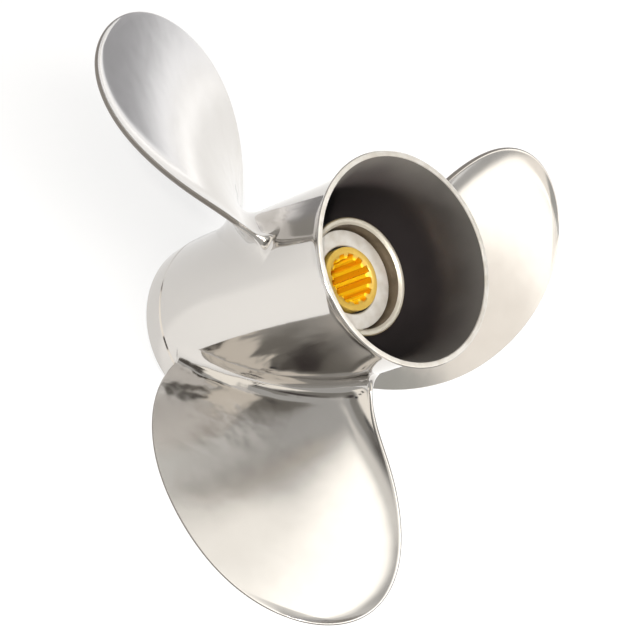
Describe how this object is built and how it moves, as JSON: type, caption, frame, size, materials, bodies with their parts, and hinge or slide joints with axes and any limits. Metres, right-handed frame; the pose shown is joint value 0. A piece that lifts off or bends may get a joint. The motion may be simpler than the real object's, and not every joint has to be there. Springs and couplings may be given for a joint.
{
  "type": "outboard motor propeller",
  "caption": "Polished stainless outboard propeller with wide cupped blades, exhaust through a flared hub, and a splined brass sleeve in a bushing.",
  "frame": {"origin": "on the shaft axis, in the plane of the barrel's front rim, on which the part stands", "axes": "+Z along the shaft axis from the front rim towards the flared aft rim; +Y is the side that blade_1 points to"},
  "size_m": [0.2617, 0.2417, 0.1294],
  "materials": {
    "polished_stainless": "mirror polished stainless casting",
    "machined_steel": "fine turned face",
    "brass": "broached and satin",
    "black_rubber": "matt moulded rubber",
    "black_paint": "matt black paint inside the hub"
  },
  "bodies": {
    "root": {"barrel": "polished_stainless", "inner_hub": "machined_steel", "rib_1": "black_paint", "rib_2": "black_paint", "rib_3": "black_paint", "blade_1": "polished_stainless", "blade_2": "polished_stainless", "blade_3": "polished_stainless", "bushing_shell": "machined_steel", "rubber_bushing": "black_rubber", "splined_sleeve": "brass"}
  },
  "joints": []
}
